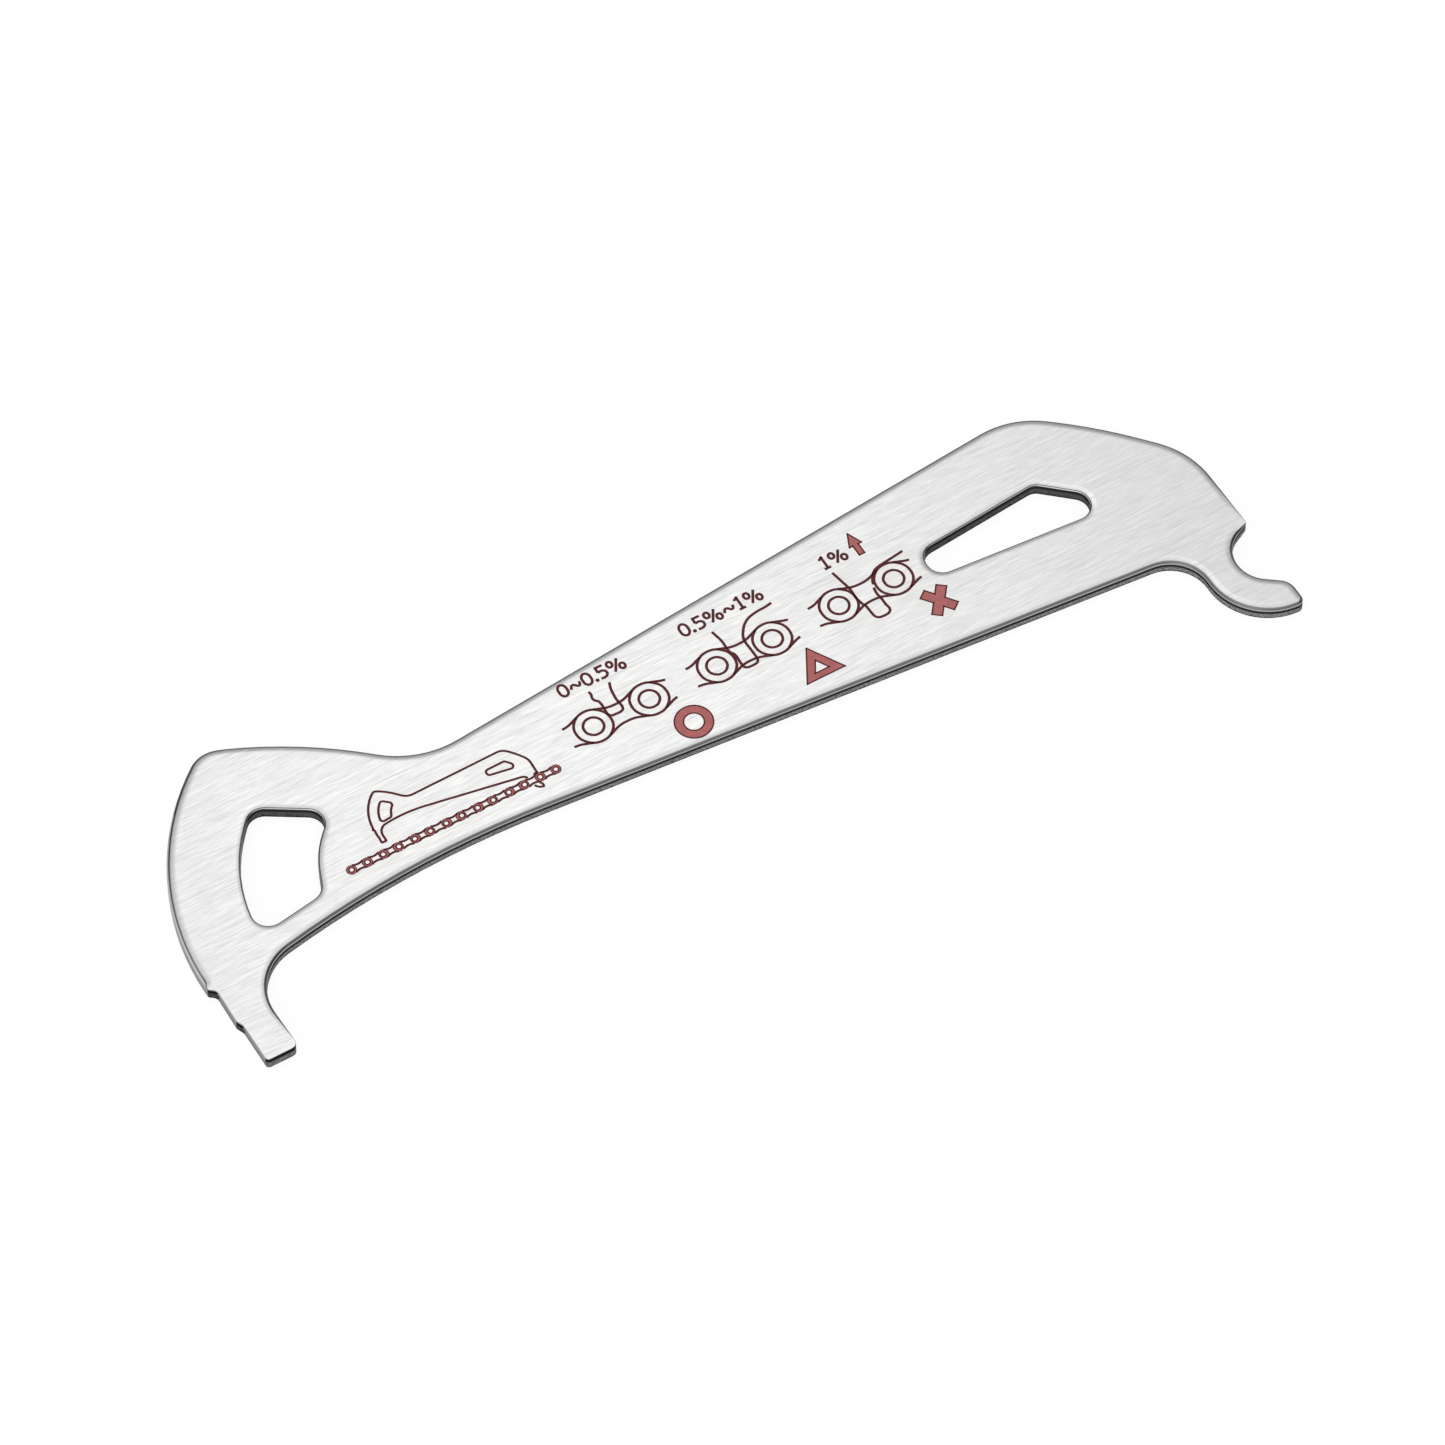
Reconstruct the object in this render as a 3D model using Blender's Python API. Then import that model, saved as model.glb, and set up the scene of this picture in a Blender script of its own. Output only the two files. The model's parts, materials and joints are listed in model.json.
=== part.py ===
"""Chain wear gauge, blanked from one stainless sheet.

The hook at one end holds a roller of the chain. The stepped peg at the other end drops between two
rollers, and how deep it goes shows how far the chain has stretched. The outline is drawn on the chain
line: x = 0, y = 0 is the centre of the roller in the hook, x runs along the chain with the peg at
negative x, and y is the height above the chain line. The finished plate lies on its back with its
origin at the bottom centre of its box. Metres throughout.
"""

import math

import bmesh
import bpy
from mathutils import Vector
from mathutils.geometry import delaunay_2d_cdt

MM = 0.001

# The chain that the gauge is made for
CHAIN_PITCH = 12.7 * MM
PITCHES_SPANNED = 10
ROLLER_DIAMETER = 7.75 * MM

# Stretch of the chain at which each step of the peg meets its roller
STRETCH_AT_TIP = 0.002
STRETCH_AT_MIDDLE = 0.005
STRETCH_AT_STOP = 0.010

# Sheet and its blanked edge: a rolled rim on top, a burnished band, then a rough taper to the back.
# The measuring faces of the peg are ground square afterwards, so they have no rolled rim or taper.
THICKNESS = 1.6 * MM
ROLLED_RIM = 0.42 * MM
BULGE_RIM = 0.50 * MM
PIERCED_RIM = 0.26 * MM
RIM_DEPTH_SHARE = 0.9
BURNISHED_BAND = 0.40 * MM
FRACTURE_TAPER = 0.04 * MM
BACK_EDGE_BREAK = 0.06 * MM
GROUND_EDGE_BREAK = 0.05 * MM

# Hook: a seat with two straight flanks that touch the roller, and the nose below it
SEAT_RADIUS = 3.74 * MM
SEAT_LIP_ANGLE = math.radians(25.4)
SEAT_NOSE_ANGLE = math.radians(36.8)
END_FACE_SETBACK = 0.35 * MM
NECK_WIDTH = 3.9 * MM
NOSE_THICKNESS = 4.0 * MM
HOOK_OUTER_RADIUS = 7.1 * MM
HOOK_UNDERSIDE_RISE = 0.45 * MM
NOSE_TOP_RADIUS = 2.0 * MM
NOSE_TOE_RADIUS = 0.8 * MM
LIP_RADIUS = 0.2 * MM

# Right end of the body, above the hook
SHOULDER_HEIGHT = 15.1 * MM
SHOULDER_RADIUS = 10.2 * MM
RIGHT_FLANK_INSET = 7.1 * MM
RIGHT_FLANK_HEIGHT = 23.1 * MM
RIGHT_FLANK_RADIUS = 55.0 * MM
BACK_CORNER_INSET = 14.3 * MM
BACK_CORNER_HEIGHT = 28.95 * MM
BACK_CORNER_RADIUS = 10.0 * MM

# Left end of the body, above the peg, measured from the peg's stop
WAIST_FROM_STOP = 33.0 * MM
WAIST_HEIGHT = 22.6 * MM
WAIST_RADIUS = 10.8 * MM
LEFT_FLANK_FROM_STOP = 23.55 * MM
LEFT_FLANK_HEIGHT = 31.15 * MM
LEFT_FLANK_RADIUS = 50.0 * MM
CROWN_FROM_STOP = 13.65 * MM
CROWN_HEIGHT = 35.55 * MM
CROWN_RADIUS = 3.5 * MM
BULGE_HEIGHT = 25.0 * MM
BULGE_RADIUS = 30.8 * MM

# Peg: stop, middle land and tip land on its outer side
STOP_HEIGHT = 8.95 * MM
STOP_SLOPE = 0.55 * MM
STOP_FILLET = 0.8 * MM
MIDDLE_LAND_RELIEF = 0.1 * MM
MIDDLE_LAND_END = 4.1 * MM
STEP_SLOPE = 0.9 * MM
STEP_FILLET = 0.8 * MM
LAND_EDGE_RADIUS = 0.25 * MM
PEG_REACH = 1.77 * MM
PEG_WIDTH = 3.7 * MM
PEG_TIP_OUTER_RADIUS = 0.4 * MM
PEG_TIP_INNER_RADIUS = 0.7 * MM
PEG_ROOT_HEIGHT = 8.5 * MM
PEG_ROOT_RADIUS = 6.3 * MM

# Belly: a long shallow arch from the peg to the neck of the hook
BELLY_CREST_FROM_STOP = 25.7 * MM
BELLY_CREST_HEIGHT = 12.4 * MM
BELLY_CREST_RADIUS = 116.0 * MM
BELLY_NECK_HEIGHT = 4.06 * MM
BELLY_NECK_RADIUS = 4.5 * MM

# Window in the left end: a sector of a ring, about its own centre
WINDOW_CENTRE_FROM_STOP = 29.2 * MM
WINDOW_CENTRE_HEIGHT = 10.78 * MM
WINDOW_OUTER_RADIUS = 21.3 * MM
WINDOW_INNER_RADIUS = 13.4 * MM
WINDOW_INNER_CURVE = 11.5 * MM
WINDOW_OUTER_ENDS = (math.radians(132.7), math.radians(176.4))
WINDOW_INNER_ENDS = (math.radians(123.5), math.radians(169.1))
WINDOW_CORNER_RADIUS = 1.85 * MM
WINDOW_ARC_SHARE = 0.69

# Slot in the right end: flared, with its far upper corner cut off on a slant
SLOT_START_FROM_HOOK = 32.45 * MM
SLOT_HEIGHT = 16.87 * MM
SLOT_LENGTH = 19.2 * MM
SLOT_START_WIDTH = 3.57 * MM
SLOT_FLARE = math.radians(4.85)
SLOT_END_WIDTH = 2.86 * MM
SLOT_SLANT = math.radians(41.6)
SLOT_END_RADIUS = 1.82 * MM
SLOT_SLANT_RADIUS = 1.5 * MM

# Fineness of the curves
CHORD_ERROR = 0.01 * MM
SHORTEST_CHORD = 0.12 * MM
RIM_STEPS = 5
JOIN_TOLERANCE = 0.0001 * MM

STEEL_COLOUR = (0.62, 0.62, 0.61, 1.0)
STEEL_ROUGHNESS = 0.34


def contact_x(stretch):
    """Where the right side of the far roller lies, on a chain stretched by that share."""
    return -PITCHES_SPANNED * CHAIN_PITCH * (1.0 + stretch) + ROLLER_DIAMETER / 2


def seat_vertex():
    """Where the two flanks of the seat would meet, both touching the roller."""
    half_angle = (SEAT_LIP_ANGLE + SEAT_NOSE_ANGLE) / 2
    lean = (SEAT_LIP_ANGLE - SEAT_NOSE_ANGLE) / 2
    reach = ROLLER_DIAMETER / 2 / math.sin(half_angle)
    return Vector((-reach * math.cos(lean), -reach * math.sin(lean)))


def seat_centre():
    """Centre of the rounded bottom of the seat."""
    half_angle = (SEAT_LIP_ANGLE + SEAT_NOSE_ANGLE) / 2
    lean = (SEAT_LIP_ANGLE - SEAT_NOSE_ANGLE) / 2
    reach = SEAT_RADIUS / math.sin(half_angle)
    return seat_vertex() + Vector((reach * math.cos(lean), reach * math.sin(lean)))


def hook_corners():
    """Corners of the hook, from the neck round the nose and the seat to the lip."""
    vertex = seat_vertex()
    seat = seat_centre()
    neck = seat.x - SEAT_RADIUS - NECK_WIDTH
    end = -END_FACE_SETBACK
    toe = seat.y - SEAT_RADIUS - NOSE_THICKNESS
    nose_top = vertex.y - (end - vertex.x) * math.tan(SEAT_NOSE_ANGLE)
    lip = vertex.y + (end - vertex.x) * math.tan(SEAT_LIP_ANGLE)
    return [
        (neck, BELLY_NECK_HEIGHT, BELLY_NECK_RADIUS, ROLLED_RIM),
        (neck, toe + HOOK_UNDERSIDE_RISE, HOOK_OUTER_RADIUS, ROLLED_RIM),
        (end, toe, NOSE_TOE_RADIUS, ROLLED_RIM),
        (end, nose_top, NOSE_TOP_RADIUS, ROLLED_RIM),
        (vertex.x, vertex.y, SEAT_RADIUS, ROLLED_RIM),
        (end, lip, LIP_RADIUS, GROUND_EDGE_BREAK),
    ]


def back_corners():
    """Corners of the right end, the back and the left end down to the stop."""
    end = -END_FACE_SETBACK
    stop = contact_x(STRETCH_AT_STOP)
    return [
        (end, SHOULDER_HEIGHT, SHOULDER_RADIUS, ROLLED_RIM),
        (end - RIGHT_FLANK_INSET, RIGHT_FLANK_HEIGHT, RIGHT_FLANK_RADIUS, ROLLED_RIM),
        (end - BACK_CORNER_INSET, BACK_CORNER_HEIGHT, BACK_CORNER_RADIUS, ROLLED_RIM),
        (stop + WAIST_FROM_STOP, WAIST_HEIGHT, WAIST_RADIUS, ROLLED_RIM),
        (stop + LEFT_FLANK_FROM_STOP, LEFT_FLANK_HEIGHT, LEFT_FLANK_RADIUS, ROLLED_RIM),
        (stop + CROWN_FROM_STOP, CROWN_HEIGHT, CROWN_RADIUS, BULGE_RIM),
        (stop, BULGE_HEIGHT, BULGE_RADIUS, BULGE_RIM),
    ]


def peg_corners():
    """Corners of the peg, from its stop down the two lands, round the tip and up to the belly."""
    stop = contact_x(STRETCH_AT_STOP)
    middle = contact_x(STRETCH_AT_MIDDLE)
    tip = contact_x(STRETCH_AT_TIP)
    inner = tip + PEG_WIDTH
    return [
        (stop, STOP_HEIGHT, LAND_EDGE_RADIUS, GROUND_EDGE_BREAK),
        (middle + MIDDLE_LAND_RELIEF, STOP_HEIGHT - STOP_SLOPE, STOP_FILLET, GROUND_EDGE_BREAK),
        (middle, MIDDLE_LAND_END, LAND_EDGE_RADIUS, GROUND_EDGE_BREAK),
        (tip, MIDDLE_LAND_END - STEP_SLOPE, STEP_FILLET, GROUND_EDGE_BREAK),
        (tip, -PEG_REACH, PEG_TIP_OUTER_RADIUS, GROUND_EDGE_BREAK),
        (inner, -PEG_REACH, PEG_TIP_INNER_RADIUS, GROUND_EDGE_BREAK),
        (inner, PEG_ROOT_HEIGHT, PEG_ROOT_RADIUS, ROLLED_RIM),
        (stop + BELLY_CREST_FROM_STOP, BELLY_CREST_HEIGHT, BELLY_CREST_RADIUS, ROLLED_RIM),
    ]


def window_corners():
    """Corners of the window: two curved sides about its centre, joined by slanting ends."""
    centre_x = contact_x(STRETCH_AT_STOP) + WINDOW_CENTRE_FROM_STOP

    def place(reach, angle, corner):
        x = centre_x + reach * math.cos(angle)
        y = WINDOW_CENTRE_HEIGHT + reach * math.sin(angle)
        return (x, y, corner, PIERCED_RIM)

    top, foot = WINDOW_OUTER_ENDS
    inner_top, inner_foot = WINDOW_INNER_ENDS
    arc = (foot - top) / 2 * WINDOW_ARC_SHARE
    outer = WINDOW_OUTER_RADIUS
    inner = WINDOW_INNER_RADIUS
    return [
        place(outer, top, WINDOW_CORNER_RADIUS),
        place(outer / math.cos(arc), (top + foot) / 2, outer),
        place(outer, foot, WINDOW_CORNER_RADIUS),
        place(inner, inner_foot, WINDOW_CORNER_RADIUS),
        place(inner, (inner_foot + inner_top) / 2, WINDOW_INNER_CURVE),
        place(inner, inner_top, WINDOW_CORNER_RADIUS),
    ]


def slot_corners():
    """Corners of the flared slot."""
    left = -SLOT_START_FROM_HOOK
    right = left + SLOT_LENGTH
    spread = math.tan(SLOT_FLARE)
    half = SLOT_START_WIDTH / 2
    low = SLOT_HEIGHT - half - spread * SLOT_LENGTH
    cut_start = low + SLOT_END_WIDTH
    top_at_end = SLOT_HEIGHT + half + spread * SLOT_LENGTH
    cut_run = (top_at_end - cut_start) / (math.tan(SLOT_SLANT) + spread)
    cut_top = top_at_end - spread * cut_run
    return [
        (left, SLOT_HEIGHT + half, SLOT_END_RADIUS, PIERCED_RIM),
        (left, SLOT_HEIGHT - half, SLOT_END_RADIUS, PIERCED_RIM),
        (right, low, SLOT_END_RADIUS, PIERCED_RIM),
        (right, cut_start, SLOT_END_RADIUS, PIERCED_RIM),
        (right - cut_run, cut_top, SLOT_SLANT_RADIUS, PIERCED_RIM),
    ]


def fillet_limits(places, radii):
    """Turn and tangent length at each corner. Fillets that would meet on an edge share its length."""
    count = len(places)
    turns = []
    wanted = []
    for i, place in enumerate(places):
        before = (place - places[i - 1]).normalized()
        after = (places[(i + 1) % count] - place).normalized()
        turn = before.angle_signed(after)
        turns.append(-turn)
        wanted.append(radii[i] * abs(math.tan(turn / 2)))
    limited = list(wanted)
    for i in range(count):
        j = (i + 1) % count
        length = (places[j] - places[i]).length
        limited[i] = min(limited[i], max(length / 2, length - wanted[j]))
        limited[j] = min(limited[j], max(length / 2, length - wanted[i]))
    return turns, limited


def rounded(corners):
    """Points round a closed outline of filleted corners, as (point, outward normal, rim width).

    Two fillets that meet on an edge share one point there.
    """
    places = [Vector(corner[:2]) for corner in corners]
    turns, tangents = fillet_limits(places, [corner[2] for corner in corners])
    outline = []
    for i, place in enumerate(places):
        along = (place - places[i - 1]).normalized()
        turn = turns[i]
        radius = tangents[i] / abs(math.tan(turn / 2))
        side = math.copysign(1.0, turn)
        start = place - along * tangents[i]
        centre = start + Vector((-along.y, along.x)) * radius * side
        finest = 2 * math.acos(max(0.0, 1 - CHORD_ERROR / radius))
        steps = min(math.ceil(abs(turn) / finest), math.ceil(abs(turn) * radius / SHORTEST_CHORD))
        steps = max(2, steps)
        spoke = (start - centre).normalized()
        for step in range(steps + 1):
            angle = turn * step / steps
            ray = Vector((
                spoke.x * math.cos(angle) - spoke.y * math.sin(angle),
                spoke.x * math.sin(angle) + spoke.y * math.cos(angle),
            ))
            outline.append((centre + ray * radius, ray * side, corners[i][3]))
    return [
        place for i, place in enumerate(outline)
        if (place[0] - outline[i - 1][0]).length > JOIN_TOLERANCE
    ]


def edge_section(rim):
    """Section of the edge from the back to the face, as (inset from the outline, height)."""
    taper = 0.0 if rim == GROUND_EDGE_BREAK else FRACTURE_TAPER
    rim_depth = rim * RIM_DEPTH_SHARE
    band_foot = THICKNESS - rim_depth - BURNISHED_BAND
    section = [
        (taper + BACK_EDGE_BREAK, 0.0),
        (taper, BACK_EDGE_BREAK),
        (0.0, band_foot),
    ]
    for step in range(RIM_STEPS + 1):
        angle = math.pi / 2 * (1 - step / RIM_STEPS)
        inset = rim * (1 - math.sin(angle))
        section.append((inset, THICKNESS - rim_depth * (1 - math.cos(angle))))
    return section


def add_wall(bm, outline, shift, into_material):
    """Skins one edge of the plate and returns its back ring and its face ring."""
    rings = []
    for point, normal, rim in outline:
        column = []
        for inset, height in edge_section(rim):
            place = point + shift - normal * inset * into_material
            column.append(bm.verts.new((place.x, place.y, height)))
        rings.append(column)
    for i, column in enumerate(rings):
        following = rings[(i + 1) % len(rings)]
        for level in range(len(column) - 1):
            corners = [column[level], following[level], following[level + 1], column[level + 1]]
            bm.faces.new(corners if into_material > 0 else corners[::-1])
    return [column[0] for column in rings], [column[-1] for column in rings]


def fill(bm, rings, face_up):
    """Closes the plate's face or back between its outer ring and its holes."""
    verts = []
    loops = []
    for ring in rings:
        loops.append(list(range(len(verts), len(verts) + len(ring))))
        verts += ring
    places = [vert.co.to_2d() for vert in verts]
    filled = delaunay_2d_cdt(places, [], loops, 1, JOIN_TOLERANCE)
    triangles, sources, regions = filled[2], filled[3], filled[5]
    for triangle, region in zip(triangles, regions):
        if region != [0]:
            continue
        corners = [verts[sources[place][0]] for place in triangle]
        face = bm.faces.new(corners)
        face.normal_update()
        if face.normal.z * face_up < 0:
            face.normal_flip()


def stainless_steel():
    """Brushed stainless sheet."""
    material = bpy.data.materials.new("brushed_stainless")
    material.use_nodes = True
    shader = material.node_tree.nodes["Principled BSDF"]
    shader.inputs["Base Color"].default_value = STEEL_COLOUR
    shader.inputs["Metallic"].default_value = 1.0
    shader.inputs["Roughness"].default_value = STEEL_ROUGHNESS
    return material


def build_plate():
    """The whole gauge: outer edge, window, slot, face and back."""
    outer = rounded(peg_corners() + hook_corners() + back_corners())
    holes = [rounded(window_corners()), rounded(slot_corners())]
    xs = [point.x for point, normal, rim in outer]
    ys = [point.y for point, normal, rim in outer]
    shift = Vector((-(min(xs) + max(xs)) / 2, -(min(ys) + max(ys)) / 2))

    bm = bmesh.new()
    rings = [add_wall(bm, outer, shift, 1.0)]
    rings += [add_wall(bm, hole, shift, -1.0) for hole in holes]
    fill(bm, [back for back, face in rings], -1.0)
    fill(bm, [face for back, face in rings], 1.0)
    mesh = bpy.data.meshes.new("gauge_plate")
    bm.to_mesh(mesh)
    bm.free()
    mesh.shade_smooth()
    mesh.set_sharp_from_angle(angle=math.radians(35))
    mesh.materials.append(stainless_steel())
    plate = bpy.data.objects.new("gauge_plate", mesh)
    bpy.context.scene.collection.objects.link(plate)
    return plate


def main():
    for item in list(bpy.data.objects):
        bpy.data.objects.remove(item)
    build_plate()


main()
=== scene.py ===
"""Looks of the chain wear gauge: the brushed sheet, its printed marks, and the studio round it.

The gauge lies on its back. x runs along the chain with the stepped peg at negative x, and z is up.
Sizes in the settings are in metres. The places of the printed marks are in millimetres on the face.
"""

import json
import math

import bmesh
import bpy
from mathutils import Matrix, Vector
from mathutils.geometry import delaunay_2d_cdt
from mathutils.kdtree import KDTree

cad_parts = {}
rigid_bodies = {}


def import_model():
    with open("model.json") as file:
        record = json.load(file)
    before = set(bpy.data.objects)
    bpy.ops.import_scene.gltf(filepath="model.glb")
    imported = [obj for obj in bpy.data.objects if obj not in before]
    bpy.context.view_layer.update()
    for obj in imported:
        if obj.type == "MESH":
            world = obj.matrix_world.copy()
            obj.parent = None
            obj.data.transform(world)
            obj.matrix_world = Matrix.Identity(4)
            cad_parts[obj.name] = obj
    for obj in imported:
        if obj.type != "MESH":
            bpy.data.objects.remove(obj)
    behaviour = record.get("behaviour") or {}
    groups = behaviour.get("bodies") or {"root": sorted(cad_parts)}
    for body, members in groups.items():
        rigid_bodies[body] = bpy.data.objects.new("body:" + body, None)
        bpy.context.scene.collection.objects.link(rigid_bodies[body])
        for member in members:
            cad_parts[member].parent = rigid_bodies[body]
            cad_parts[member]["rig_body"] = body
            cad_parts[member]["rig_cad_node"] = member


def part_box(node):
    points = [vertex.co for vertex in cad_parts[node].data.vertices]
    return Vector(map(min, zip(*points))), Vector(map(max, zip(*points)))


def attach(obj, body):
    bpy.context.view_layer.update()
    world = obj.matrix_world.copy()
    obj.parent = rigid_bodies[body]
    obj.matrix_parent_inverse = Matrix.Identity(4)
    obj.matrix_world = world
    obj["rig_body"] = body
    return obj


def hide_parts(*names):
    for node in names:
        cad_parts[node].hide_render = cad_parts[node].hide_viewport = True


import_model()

bl_info = {
    "name": "Chain Wear Gauge",
    "version": (1, 0, 0),
    "blender": (4, 5, 0),
    "location": "View3D > Sidebar > Chain Gauge",
    "description": "Finishes the chain wear gauge, prints its marks and sets up the studio",
    "category": "Object",
}

MM = 0.001
BODY = "root"
PLATE_NODE = "gauge_plate"
PLATE_LOW, PLATE_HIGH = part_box(PLATE_NODE)
THICKNESS = PLATE_HIGH.z - PLATE_LOW.z
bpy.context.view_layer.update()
MERGE_DISTANCE = 1e-7

# How steeply a normal rises: more than FLAT on the face and the back, less than UPRIGHT on a wall
FLAT = 0.999
UPRIGHT = 0.95

# Shading runs smoothly over corners up to these angles
PLATE_SMOOTHING = math.radians(40)
PRINT_SMOOTHING = math.radians(50)

# Face next to its edges, which the punch draws down before it shears the sheet. Rings of points
# follow each edge at these insets, without the points that come nearer to another edge than
# ROLL_CLEARANCE of their inset. An edge whose rim is no wider than SQUARE_EDGE stays square.
ROLL_INSETS = tuple(inset * MM for inset in (0.09, 0.18, 0.28, 0.39, 0.52, 0.6))
ROLL_SPACING = 0.5 * MM
ROLL_CLEARANCE = 0.96
BORDER_SPACING = 0.05 * MM
SQUARE_EDGE = 0.11 * MM
RIM_DEPTH = 0.5 * MM

# Foot of an edge: a point this low comes out below the wall where that is no further off
BACK_BREAK = 0.1 * MM
FOOT_REACH = 0.25 * MM

# Material slots of the plate
FACE, BACK, BLANKED, PIERCED, GROUND, SQUARE = range(6)

# Zones of the edges from the foot up: (share of the sheet's thickness, colour in the settings).
# Their dark foot is partly the burr and partly painted shade where the gauge meets the floor,
# their burnished band is painted shade, and their rim grey is partly painted shade.
# On the outer edge, the steel band at 0.785 is a painted highlight and the pierced grey at 0.85 is
# painted shade on the rim.
BLANKED_ZONES = (
    (0.06, "foot"), (0.14, "fracture"), (0.44, "fracture"), (0.5, "burnish_painted_shade"), (0.68, "burnish_painted_shade"),
    (0.735, "rim"), (0.785, "steel"), (0.85, "pierced"), (0.975, "rim"), (0.985, "steel"),
)
# In the openings the pierced grey is painted shade. On their rim the pierced bands at 0.87 and 0.94
# are painted shade, and the steel band at 0.915 between them is a painted highlight.
PIERCED_ZONES = (
    (0.1, "foot"), (0.2, "pierced"), (0.5, "pierced"), (0.65, "burnish_painted_shade"), (0.82, "burnish_painted_shade"),
    (0.87, "pierced"), (0.915, "steel"), (0.94, "pierced"), (0.975, "rim"), (0.985, "steel"),
)
GROUND_ZONES = (
    (0.02, "rim"), (0.08, "ground"), (0.86, "ground"), (0.92, "rim"), (0.965, "rim"),
    (0.98, "steel"),
)
SQUARE_ZONES = (
    (0.06, "foot"), (0.14, "fracture"), (0.56, "fracture"), (0.66, "burnish_painted_shade"), (0.96, "burnish_painted_shade"),
    (0.99, "rim"),
)

# Where an edge is broken, 1, and where it is sheared, 0, in shares of the thickness
BROKEN_ZONES = ((0.40, 1.0), (0.52, 0.0))
UNBROKEN_ZONES = ((0.0, 0.0), (1.0, 0.0))

# Beyond GROUND_END, walls that face the end of the plate are ground. The peg's lands face the
# chain there and are drawn down by less than LAND_DRAWN. Its tip's lands are the lowest ones, up
# to PEG_TIP_HEIGHT.
GROUND_END = -50.0 * MM
GROUND_FACING = -0.5
LAND_FACING = -0.18
LAND_DRAWN = 0.5
PEG_TIP_HEIGHT = 1.0 * MM

# Grain of the brushed steel: its noise runs from dark to light within this spread of its middle,
# and these shares show of the scratches on the face and the back, and of the rim's grey at an edge,
# which is partly the unbrushed finish and partly painted shade
STREAK_MIDDLE = 0.55
STREAK_SPREAD = 0.2
STREAK_DEPTH = 0.004 * MM
FACE_SCRATCHES = 0.28
BACK_SCRATCHES = 0.2
EDGE_GREY_AND_SHADE = 0.22

# Depth of the grains of a broken wall, and size of the uneven patches in the ink
GRAIN_DEPTH = 0.01 * MM
INK_PATCH = 0.6 * MM

# The camera is aimed as the photograph was taken, for a square picture
CAMERA_AZIMUTH = math.radians(-30.7)
CAMERA_ELEVATION = math.radians(55.9)
CAMERA_TARGET = Vector((0.749, -3.241, 1.63)) * MM
CAMERA_DISTANCE = 1.0563
CAMERA_LENS = 250.0

# Light: the ceiling is brightest behind the gauge and falls off to the walls. Three walls add to
# it, each full where the cosine to its direction passes LIT_CORE and out below LIT_EDGE. The one
# behind is aimed low, so that the face doesn't mirror it in the photograph's view. A softbox stands
# where the face does mirror it.
CEILING_DIRECTION = (0.1, 0.2, 0.97)
CEILING_LEVELS = ((0.0, 0.14), (0.5, 0.12), (0.7, 0.18), (0.8, 0.4), (0.88, 0.8), (0.94, 1.0))
LEFT_DIRECTION = (-1.0, 0.0, 0.0)
FRONT_DIRECTION = (-0.35, -0.93, 0.1)
BACK_DIRECTION = (0.7, 0.7, -0.5)
LIT_EDGE, LIT_CORE = 0.3, 0.7
SOFTBOX_DIRECTION = (0.286, 0.482, 0.828)
SOFTBOX_AIM = (-0.03, 0.0, 0.0)
SOFTBOX_DISTANCE = 0.45
FLOOR_GAP = 0.02 * MM

# Three views of the peg between two rollers: the centre of the left roller of each, in millimetres
ROLLER_VIEWS = ((-11.15, 3.30), (3.95, 3.30), (19.03, 3.37))
ROLLER_SPACING = 6.81
ROLLER_OUTER = 2.09
ROLLER_BORE = 1.11
LINK_WAIST = 1.24

# Edges of the link plates round a pair of rollers, above the line of centres
LINK_EDGES = (
    ((-3.08, 1.27), (-2.3, 1.38), (-1.6, 1.63), (-1.0, 1.86)),
    (
        (1.0, 1.86), (1.65, 1.6), (2.4, 1.34), (3.4, LINK_WAIST), (4.4, 1.34), (5.15, 1.6),
        (5.81, 1.86),
    ),
    ((7.81, 1.86), (8.4, 1.63), (9.0, 1.4), (9.5, 1.27)),
)

# Outline of the peg in each view, from the centre of the left roller: shallow, half way and right in
PEG_OUTLINES = (
    (
        (1.75, 4.05), (1.8, 3.6), (1.68, 3.2), (1.72, 2.85), (2.04, 2.45), (2.12, 2.1), (2.1, 1.4),
        (2.1, 0.5), (2.3, 0.23), (2.85, 0.15), (3.4, 0.15), (3.75, 0.3), (3.87, 0.65), (3.85, 1.2),
        (3.8, 1.8), (3.85, 2.4), (3.93, 3.0), (4.1, 3.6), (4.27, 4.0),
    ),
    (
        (1.75, 4.0), (1.9, 3.3), (2.05, 2.5), (2.05, 1.9), (2.03, 1.3), (2.08, 0.8), (2.33, 0.4),
        (2.4, -0.1), (2.37, -0.6), (2.35, -1.15), (2.42, -1.58), (2.68, -1.82), (3.05, -1.88),
        (3.55, -1.88), (3.93, -1.77), (4.14, -1.45), (4.17, -0.8), (4.15, 0.2), (4.13, 1.0),
        (4.25, 1.7), (4.65, 2.4), (5.25, 3.1), (5.95, 3.55), (6.65, 3.75), (7.35, 3.85),
        (8.25, 3.9), (9.1, 4.03),
    ),
    (
        (1.57, 3.98), (1.77, 3.03), (1.92, 2.23), (2.07, 1.53), (2.12, 0.83), (2.07, 0.03),
        (2.17, -0.67), (2.27, -1.1), (2.42, -1.4), (2.47, -1.97), (2.52, -2.77), (2.62, -3.22),
        (2.87, -3.46), (3.37, -3.57), (3.67, -3.57), (4.17, -3.47), (4.42, -3.17), (4.37, -2.37),
        (4.35, -1.37), (4.27, -0.77), (4.38, 0.1),
    ),
)

# Edge of the gauge's body beside the peg, in the last view
BODY_EDGE = (
    (4.55, 0.45), (4.75, 0.95), (5.1, 1.5), (5.6, 1.95), (6.2, 2.17), (6.87, 2.27), (8.1, 2.42),
    (9.47, 2.6),
)

# Readings above the views: the figures, where the first one starts, and the line they stand on
READINGS = (("0~0.5%", (-12.12, 8.08)), ("0.5%~1%", (2.85, 8.28)), ("1%", (20.15, 8.13)))
FIGURE_HEIGHT = 1.52
FIGURE_GAP = 0.38

# A straight line of ink that turns by more than this has a sharp corner, and a rounded one has
# this many steps from point to point
SHARP_CORNER = math.radians(35)
CURVE_STEPS = 6

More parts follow.
